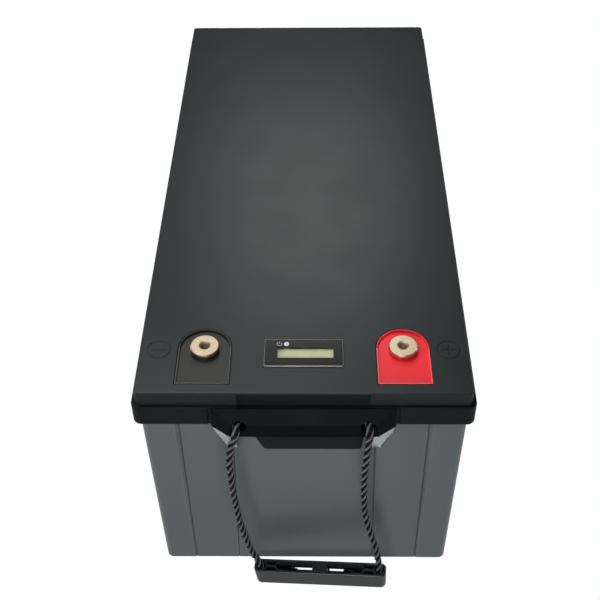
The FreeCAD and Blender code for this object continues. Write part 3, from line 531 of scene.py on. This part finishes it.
def weave(name, base, pitch=0.0012):
    """A glass-fibre sheet with its woven pattern."""
    look = Look(name, 0.45, 0, 0.5)
    x, y = look.along(0), look.along(1)
    warp = look.math("SINE", look.math("MULTIPLY", x, 2 * math.pi / pitch))
    weft = look.math("SINE", look.math("MULTIPLY", y, 2 * math.pi / pitch))
    cross = look.math("MULTIPLY", warp, weft)
    darker = tuple(c * 0.85 for c in base)
    look.color(look.blend(look.span(cross, 0, 1, -1, 1), darker, base))
    look.rough(look.span(look.noise(50, 4), 0.38, 0.55))
    look.bump(cross, 0.00005, 0.5)
    return look.material


def solder_mask():
    """A green circuit board with tinned pads."""
    look = Look("circuit_board", 0.35, 0, 0.5)
    voronoi = look.node("ShaderNodeTexVoronoi", distance="CHEBYCHEV")
    voronoi.inputs["Scale"].default_value = 420
    look.join(look.place, voronoi.inputs["Vector"])
    pads = look.span(voronoi.outputs["Distance"], 1, 0, 0.12, 0.16)
    green = look.blend(look.span(look.noise(80, 4), 0, 1), (0.008, 0.07, 0.03), (0.014, 0.11, 0.045))
    look.color(look.blend(pads, green, (0.6, 0.58, 0.52)))
    look.bump(pads, 0.00005, 0.5)
    return look.material


def cell_film():
    """Blue film shrunk round a can, with faint ripples."""
    look = Look("cell_wrap", 0.28, 0, 0.5)
    look.rounded_edges(0.0004)
    look.color(look.blend(look.span(look.noise(12, 4), 0, 1), (0.012, 0.085, 0.30), (0.018, 0.12, 0.40)))
    look.rough(look.span(look.noise(45, 5), 0.22, 0.4))
    look.bump(look.noise(35, 4, (1, 1, 0.3)), 0.0004, 0.35)
    return look.material


ROPE = rope_fibre()
LOOKS = {
    "case_plastic": case_plastic(),
    "lid_plastic": lid_side(),
    "seal_rubber": rubbery("seal_rubber", (0.02, 0.02, 0.021)),
    "negative_cover_plastic": moulded("negative_cover_plastic", (0.022, 0.022, 0.020), 0.34, 0.3,
                                      0.1).material,
    "positive_cover_plastic": moulded("positive_cover_plastic", (0.84, 0.024, 0.037), 0.3, 0.35,
                                      0.05).material,
    "zinc_steel": metal("zinc_steel", (0.62, 0.62, 0.60), 0.34),
    "meter_plastic": moulded("meter_plastic", (0.019, 0.020, 0.017), 0.18, 0.24, 0.08, 1200,
                             0.00001).material,
    "meter_trim_metal": metal("meter_trim_metal", (0.24, 0.25, 0.24), 0.42, (1, 1, 6), 200),
    "meter_lens_glass": clear_lens(),
    "meter_display_glass": display_glass(),
    "backlight_plastic": moulded("backlight_plastic", (0.75, 0.75, 0.70), 0.6, 0.4, 0.05).material,
    "circuit_board": solder_mask(),
    "button_rubber": moulded("button_rubber", (0.62, 0.64, 0.63), 0.35, 0.5, 0.05, 1500, 0.00001).material,
    "rope_fibre": ROPE,
    "grip_plastic": moulded("grip_plastic", (0.014, 0.0175, 0.0195), 0.33, 0.45, 0.12, 1100,
                            0.00006).material,
    "cell_wrap": cell_film(),
    "separator_plastic": weave("separator_plastic", (0.70, 0.70, 0.55)),
    "end_plate_aluminium": metal("end_plate_aluminium", (0.72, 0.73, 0.75), 0.36, (1, 12, 1), 120),
    "band_steel": metal("band_steel", (0.55, 0.56, 0.57), 0.3, (12, 1, 1), 120),
    "busbar_copper": metal("busbar_copper", (0.85, 0.46, 0.30), 0.28, (1, 10, 1), 160),
    "foam": rubbery("foam", (0.035, 0.035, 0.04), 0.85, 420, 0.0004),
    "bms_plastic": moulded("bms_plastic", (0.02, 0.02, 0.022), 0.45, 0.5, 0.15, 500, 0.00006).material,
    "cable_red": rubbery("cable_red", (0.42, 0.012, 0.012), 0.42, 500, 0.00004),
    "cable_black": rubbery("cable_black", (0.014, 0.014, 0.015), 0.42, 500, 0.00004),
}
# The same brass on both posts, the negative one painted darker as shade.
POSTS = {"negative_terminal_post": brass("brass_negative", -1, 0.56),
         "positive_terminal_post": brass("brass_positive", 1, 0.78)}


def dress_nodes():
    slots = {part["node"]: part["material_slot"] for part in frame["record"]["subparts"]}
    for name, node in nodes.items():
        look = POSTS.get(name) or LOOKS[slots[name]]
        node.data.materials.clear()
        node.data.materials.append(look)
    lid = nodes["lid"].data
    for look in (lid_top_painted_light(), lid_lug_painted_shade(), lid_edge(), lid_band_painted_light()):
        lid.materials.append(look)
    # The lid's faces get lit and shaded copies of one plastic: the top painted light, the lugs painted shade
    # and the upright band painted lighter than the skirt.
    for face in lid.polygons:
        x, y, z = face.center
        if face.normal.z > 0.8 and z > LID_TOP - TOP_MARGIN:
            face.material_index = 1
        elif LUG_LOW < z < LUG_HIGH and abs(y) > LUG_Y and abs(x) < LUG_X:
            face.material_index = 2
        elif 0.3 < face.normal.z < 0.9 and z > LID_TOP - TOP_MARGIN and abs(y) < POCKET_MAX_Y:
            face.material_index = 3
        elif face.normal.z < 0.8 and z > LID_STEP and (abs(x) > PLATE_X or abs(y) > PLATE_Y):
            face.material_index = 4
    case = nodes["case_container"].data
    case.materials.append(case_bracket_painted_highlight())
    # The gussets take a pale colour that is a painted highlight.
    for face in case.polygons:
        x, y, z = face.center
        face.material_index = int(GUSSET_X < abs(x) < LUG_X and abs(y) > GUSSET_Y and z < GUSSET_TOP)
    for name, rim in (("negative_terminal_cover", cover_rim_painted_highlight("negative_rim_highlight", (0.075, 0.072, 0.068))),
                      ("positive_terminal_cover", cover_rim_painted_highlight("positive_rim_highlight", (0.92, 0.13, 0.14)))):
        cover = nodes[name].data
        cover.materials.append(rim)
        # A cover's top rim on its straight front part takes a lighter tone, a painted highlight.
        for face in cover.polygons:
            face.material_index = int(face.center.z > COVER_RIM_LOW and face.center.y < TERMINAL_Y)


# ---------------------------------------------------------------- printed mark on the meter


def make_power_mark():
    """A thin printed ring with a bar in its gap, beside the wake button."""
    x, y, z = -0.0175, -0.2045, 0.21921
    outer, inner, gap = 0.0019, 0.00145, math.radians(34)
    bm = bmesh.new()
    steps = 40
    rows = []
    for i in range(steps + 1):
        a = math.pi / 2 + gap + (2 * math.pi - 2 * gap) * i / steps
        rows.append([bm.verts.new((x + r * math.cos(a), y + r * math.sin(a), z)) for r in (inner, outer)])
    for (a, b), (c, d) in zip(rows, rows[1:]):
        bm.faces.new((a, b, d, c))
    bar = [(-0.00022, 0.0003), (0.00022, 0.0003), (0.00022, 0.0021), (-0.00022, 0.0021)]
    bm.faces.new([bm.verts.new((x + dx, y + dy, z)) for dx, dy in bar])
    bmesh.ops.recalc_face_normals(bm, faces=bm.faces)
    printed = bmesh.ops.extrude_face_region(bm, geom=bm.faces[:])["geom"]
    for element in printed:
        if isinstance(element, bmesh.types.BMVert):
            element.co.z += 0.00003
    bmesh.ops.recalc_face_normals(bm, faces=bm.faces)
    mesh = bpy.data.meshes.new("power_mark")
    bm.to_mesh(mesh)
    bm.free()
    mark = bpy.data.objects.new("power_mark", mesh)
    scene.collection.objects.link(mark)
    ink = moulded("printed_ink", (0.42, 0.44, 0.43), 0.45, 0.4, 0.1, 1500, 0.00001, 0)
    mesh.materials.append(ink.material)
    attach(mark, "pack")


# ---------------------------------------------------------------- floor, light


def make_world():
    """White behind the object, and a soft sky that is dimmer towards the front and the right."""
    world = bpy.data.worlds.new("studio")
    scene.world = world
    world.use_nodes = True
    tree = world.node_tree
    background = tree.nodes["Background"]
    background.inputs["Color"].default_value = (1, 1, 1, 1)
    place = tree.nodes.new("ShaderNodeTexCoord")
    turn = tree.nodes.new("ShaderNodeVectorMath")
    turn.operation = "DOT_PRODUCT"
    turn.inputs[1].default_value = SKY_BRIGHT_WAY.normalized()
    tree.links.new(place.outputs["Generated"], turn.inputs[0])
    level = tree.nodes.new("ShaderNodeMapRange")
    limits = {"From Min": -0.6, "From Max": 1.0, "To Min": SKY_DIM_PART * SKY_GLOW, "To Max": SKY_GLOW}
    for key, number in limits.items():
        level.inputs[key].default_value = number
    tree.links.new(turn.outputs["Value"], level.inputs["Value"])
    seen = tree.nodes.new("ShaderNodeLightPath")
    pick = tree.nodes.new("ShaderNodeMix")
    tree.links.new(seen.outputs["Is Camera Ray"], pick.inputs[0])
    tree.links.new(level.outputs[0], pick.inputs[2])
    pick.inputs[3].default_value = 1.0
    tree.links.new(pick.outputs[0], background.inputs["Strength"])


def make_stage():
    bpy.ops.mesh.primitive_plane_add(size=14, location=(0, 1.5, 0))
    floor = bpy.context.object
    floor.name = "floor"
    look = Look("floor")
    glow = look.node("ShaderNodeEmission")
    seen = look.node("ShaderNodeLightPath").outputs["Is Camera Ray"]
    look.join(look.span(seen, FLOOR_GLOW, 1, 0, 1), glow.inputs["Strength"])
    look.join(glow.outputs[0], look.tree.nodes["Material Output"].inputs["Surface"])
    floor.data.materials.append(look.material)

    make_world()
    for name, at, aim, size, power in (
            ("overhead", (-0.25, 0.05, 1.15), (-0.06, 0.0, 0.2), (0.7, 0.7), 8.0),
            ("front", (-0.5, -2.2, 1.3), (0, -0.25, 0.1), (0.7, 0.5), 12),
            ("fill", (0.0, -0.56, 0.24), (0, -0.25, 0.09), (0.16, 0.12), 0.78),
            ("left", (-0.55, -0.62, 0.50), (0, -0.265, 0.12), (0.10, 0.16), 0.8),
            ("side_left", (-1.5, 0.1, 0.11), (0, 0.1, 0.11), (1.3, 0.2), 15),
            ("side_right", (1.5, 0.1, 0.11), (0, 0.1, 0.11), (1.3, 0.2), 15),
            ("rear", (0, 1.9, 0.11), (0, 0.25, 0.11), (1.2, 0.2), 19),
            ("back", (-0.02, 1.60, 1.62), (0, 0, 0.2), (0.5, 0.5), 4.2)):
        data = bpy.data.lights.new(name, "AREA")
        data.shape = "RECTANGLE"
        data.size, data.size_y = size
        data.energy = power
        lamp = bpy.data.objects.new(name, data)
        lamp.location = at
        lamp.visible_camera = False
        lamp.rotation_euler = (Vector(aim) - Vector(at)).to_track_quat("-Z", "Y").to_euler()
        scene.collection.objects.link(lamp)
    scene.view_settings.view_transform = "Standard"
    scene.view_settings.look = "None"


make_camera()
make_ropes()
dress_nodes()
make_power_mark()
make_stage()
bpy.context.view_layer.update()
